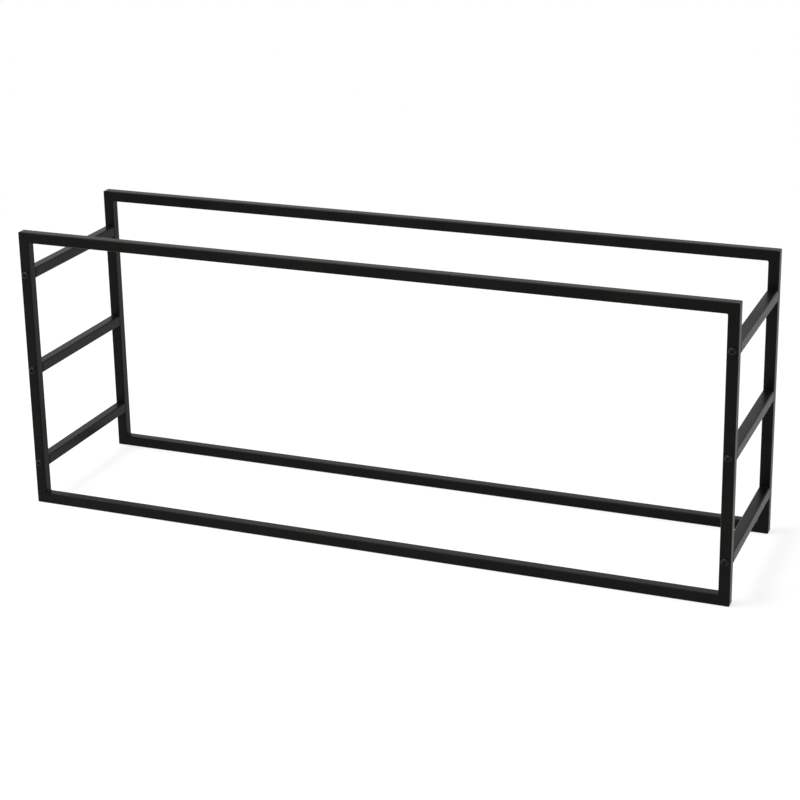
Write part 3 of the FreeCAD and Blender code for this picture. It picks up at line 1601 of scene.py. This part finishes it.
@dataclass
class Studio:
    """Pale floor, soft light and the camera.

    Attributes:
        floor_size: the floor's side.
        floor_colour: what the floor reflects onto the rack.
        shown_colour: how bright the floor's lit paper shows.
        shadow_depth: how strongly the rack's shadow shows on the white floor.
        shadow_fade: how far from the rack's middle the shadow starts to fade and is gone.
        sky: the light of the surroundings.
        lamp_power: the power of the soft lamp, in watts.
        lamp_size: the lamp's width and depth.
        lamp_place: the middle of the lamp.
        lamp_target: the place that it faces.
        camera_place: the camera's place.
        camera_turn: its azimuth to the right of the front, its elevation and its roll, in degrees.
        lens: its focal length in millimetres, on a 36 mm sensor.
        rise: its vertical shift.
    """

    floor_size: float = 40.0
    floor_colour: Colour = (0.82, 0.82, 0.82)
    shown_colour: float = 1.35
    shadow_depth: float = 0.3
    shadow_fade: tuple[float, float] = (0.9, 2.0)
    sky: float = 0.6
    lamp_power: float = 34.0
    lamp_size: tuple[float, float] = (1.4, 1.1)
    lamp_place: tuple[float, float, float] = (-0.85, -0.73, 2.3)
    lamp_target: tuple[float, float, float] = (0.0, 0.0, 0.2)
    camera_place: tuple[float, float, float] = (0.9797, -2.4103, 1.1429)
    camera_turn: tuple[float, float, float] = (21.87, 17.64, -0.955)
    lens: float = 91.12
    rise: float = -0.125

    def build(self) -> None:
        """Builds the studio."""
        self.build_camera()
        self.build_floor()
        self.build_sky()
        self.build_lamp()
        bpy.context.scene.view_settings.view_transform = "Standard"

    def build_camera(self) -> None:
        """Camera in front of the rack, to its right and above it."""
        azimuth, elevation, roll = (math.radians(angle) for angle in self.camera_turn)
        data = bpy.data.cameras.new("camera")
        data.lens = self.lens
        data.sensor_width = 36.0
        data.shift_y = self.rise
        camera = bpy.data.objects.new("camera", data)
        bpy.context.scene.collection.objects.link(camera)
        turn = (
            Matrix.Rotation(azimuth, 4, "Z")
            @ Matrix.Rotation(math.pi / 2 - elevation, 4, "X")
            @ Matrix.Rotation(roll, 4, "Z")
        )
        camera.matrix_world = Matrix.Translation(self.camera_place) @ turn
        bpy.context.scene.camera = camera

    def seen_or_mirrored(self, nodes: Nodes) -> bpy.types.NodeSocket:
        """Tells the rays that show the studio from those that light it.

        Args:
            nodes: the node tree that asks.

        Returns:
            1 for a ray from the camera, off a gloss or through glass, and 0 for any other.
        """
        rays = nodes.add("ShaderNodeLightPath", {}).outputs
        result = rays["Is Camera Ray"]
        for name in ("Is Glossy Ray", "Is Transmission Ray"):
            result = nodes.calculate("MAXIMUM", result, rays[name])
        return result

    def build_floor(self) -> None:
        """Floor that shows as white and keeps a soft shadow."""
        bpy.ops.object.select_all(action="DESELECT")
        bpy.ops.mesh.primitive_plane_add(size=self.floor_size)
        floor = settle(bpy.context.object, "floor")
        material = bpy.data.materials.new("floor_paper")
        material.use_nodes = True
        material.node_tree.nodes.clear()
        nodes = Nodes(material.node_tree)
        lit = nodes.add("ShaderNodeBsdfDiffuse", {"Color": (*self.floor_colour, 1)}).outputs[0]
        bright = (*[self.shown_colour] * 3, 1)
        paper = nodes.add("ShaderNodeBsdfDiffuse", {"Color": bright}).outputs[0]
        white = nodes.add("ShaderNodeEmission", {}).outputs[0]
        inputs = {0: self.shadow_reach(nodes), 1: white, 2: paper}
        shown = nodes.add("ShaderNodeMixShader", inputs).outputs[0]
        inputs = {0: self.seen_or_mirrored(nodes), 1: lit, 2: shown}
        choice = nodes.add("ShaderNodeMixShader", inputs).outputs[0]
        nodes.add("ShaderNodeOutputMaterial", {"Surface": choice})
        floor.data.materials.append(material)

    def shadow_reach(self, nodes: Nodes) -> bpy.types.NodeSocket:
        """How much of the floor's own light and shade shows: less and less away from the rack.

        Args:
            nodes: the floor's node tree.

        Returns:
            The amount, up to the depth of the shadow.
        """
        inputs = {0: nodes.coordinate("Object")}
        distance = nodes.add("ShaderNodeVectorMath", inputs, operation="LENGTH").outputs["Value"]
        return nodes.spread(distance, *self.shadow_fade, self.shadow_depth, 0.0)

    def build_sky(self) -> None:
        """Even surroundings, which show as white."""
        world = bpy.data.worlds.new("studio")
        bpy.context.scene.world = world
        world.use_nodes = True
        nodes = Nodes(world.node_tree)
        strength = nodes.spread(self.seen_or_mirrored(nodes), 0.0, 1.0, self.sky, 1.0)
        background = world.node_tree.nodes["Background"]
        nodes.feed(background.inputs["Strength"], strength)
        nodes.feed(background.inputs["Color"], (1, 1, 1, 1))

    def build_lamp(self) -> None:
        """Soft lamp overhead, a little to the left and the front."""
        data = bpy.data.lights.new("softbox", "AREA")
        data.shape = "RECTANGLE"
        data.size, data.size_y = self.lamp_size
        data.energy = self.lamp_power
        lamp = bpy.data.objects.new("softbox", data)
        bpy.context.scene.collection.objects.link(lamp)
        lamp.location = self.lamp_place
        back = lamp.location - Vector(self.lamp_target)
        lamp.rotation_euler = back.to_track_quat("Z", "Y").to_euler()


def main() -> None:
    """Builds the studio and the rack, piece by piece."""
    Studio().build()
    frame_coat = PowderCoat("frame_coat", dressed_seams=True).material()
    crossbar_coat = PowderCoat("crossbar_coat").material()
    weld_coat = PowderCoat("weld_coat", roughness=(0.36, 0.48)).material()
    for depth in Depth:
        WeldedFrame(depth, frame_coat, weld_coat).build()
    Ladders(
        crossbar_coat,
        MouldedNylon("plug_nylon").material(),
        ZincPlate("bush_steel").material(),
        BlackOxide("bolt_black").material(),
    ).build()


if __name__ == "__main__":
    main()
